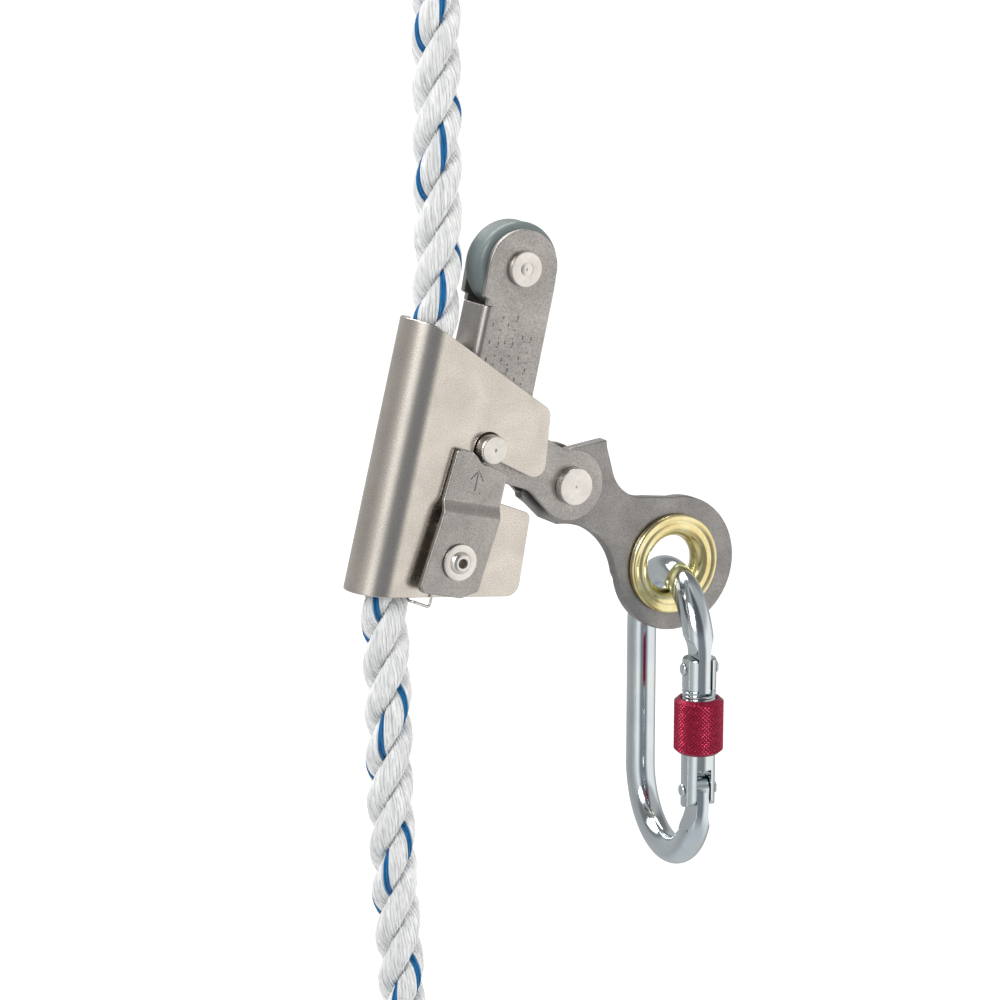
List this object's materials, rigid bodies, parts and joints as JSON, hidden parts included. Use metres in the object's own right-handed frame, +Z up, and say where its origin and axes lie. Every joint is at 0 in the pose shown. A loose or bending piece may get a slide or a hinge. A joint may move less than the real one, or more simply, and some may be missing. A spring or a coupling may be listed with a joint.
{
  "type": "rope grab ascender",
  "caption": "Openable steel rope grab on twisted rope: U-shaped housing with sprung latch, cam arm with guide roller, link with brass eyelet, screwgate karabiner.",
  "frame": {"origin": "middle of the rope channel in the housing, on the channel's axis, where the rope carries the device", "axes": "+Z up, +X from the rope towards the karabiner, -Y out of the face that carries the latch; the channel leans 14 degrees from +Z to +X"},
  "size_m": [0.1397, 0.0582, 0.4682],
  "materials": {
    "satin_steel": "satin stainless sheet, fine speckle",
    "pickled_steel": "matte pickled stainless",
    "bright_steel": "bright turned steel",
    "zinc": "bright zinc plate",
    "brass": "polished brass",
    "anodised_crimson": "crimson anodised, diamond knurl",
    "grey_plastic": "grey-green moulded plastic",
    "white_rope": "three-strand twisted polyamide with blue tracer yarns",
    "black_sleeve": "black heat-shrunk sleeve"
  },
  "bodies": {
    "housing": {"housing_shell": "satin_steel", "latch_rivet": "bright_steel", "latch_spring": "bright_steel", "rope_upper": "white_rope", "rope_lower": "white_rope", "rope_thimble": "zinc", "rope_ferrule": "black_sleeve", "rope_end_cap": "black_sleeve"},
    "latch": {"latch_plate": "pickled_steel"},
    "arm": {"arm_channel": "pickled_steel", "main_pin": "bright_steel", "cam": "pickled_steel", "cam_dowel": "bright_steel", "roller_axle": "bright_steel", "link_pin": "bright_steel", "link_spacer_front": "bright_steel", "link_spacer_back": "bright_steel"},
    "roller": {"guide_roller": "grey_plastic", "roller_bush": "bright_steel"},
    "link": {"link_plate": "pickled_steel"},
    "eyelet": {"eyelet": "brass"},
    "karabiner": {"karabiner_body": "zinc", "gate_hinge_pin": "bright_steel"},
    "gate": {"gate": "zinc", "gate_nose_pin": "bright_steel", "gate_plunger": "bright_steel", "gate_spring": "bright_steel"},
    "sleeve": {"screw_sleeve": "anodised_crimson"}
  },
  "joints": [
    {"name": "latch_swing", "type": "hinge", "parent": "housing", "child": "latch", "pos_m": [0.01013, 0, -0.03293], "axis": [0, 1, 0], "range_deg": [-35, 0], "stiffness_Nm_per_rad": 0.03, "springref_deg": 11.46},
    {"name": "arm_swing", "type": "hinge", "parent": "housing", "child": "arm", "pos_m": [0.02333, 0, 0.00016], "axis": [0, 1, 0], "range_deg": [-4, 8]},
    {"name": "roller_spin", "type": "hinge", "parent": "arm", "child": "roller", "pos_m": [0.03715, 0, 0.05391], "axis": [0, 1, 0], "continuous": true},
    {"name": "link_swing", "type": "hinge", "parent": "arm", "child": "link", "pos_m": [0.05458, 0, -0.01546], "axis": [0, 1, 0], "range_deg": [-45, 12]},
    {"name": "eyelet_turn", "type": "hinge", "parent": "link", "child": "eyelet", "pos_m": [0.09568, 0, -0.04666], "axis": [0, 1, 0], "range_deg": [-90, 22]},
    {"name": "karabiner_swing", "type": "hinge", "parent": "eyelet", "child": "karabiner", "pos_m": [0.09658, 0, -0.07316], "axis": [0.9877, -0.1564, 0], "range_deg": [-45, 45]},
    {"name": "gate_open", "type": "hinge", "parent": "karabiner", "child": "gate", "pos_m": [0.09298, -0.02272, -0.11616], "axis": [-0.9877, 0.1564, 0], "range_deg": [0, 24], "stiffness_Nm_per_rad": 0.05, "springref_deg": -11.46},
    {"name": "sleeve_travel", "type": "slide", "parent": "gate", "child": "sleeve", "axis": [0, 0, 1], "range_m": [0, 0.0073]}
  ]
}
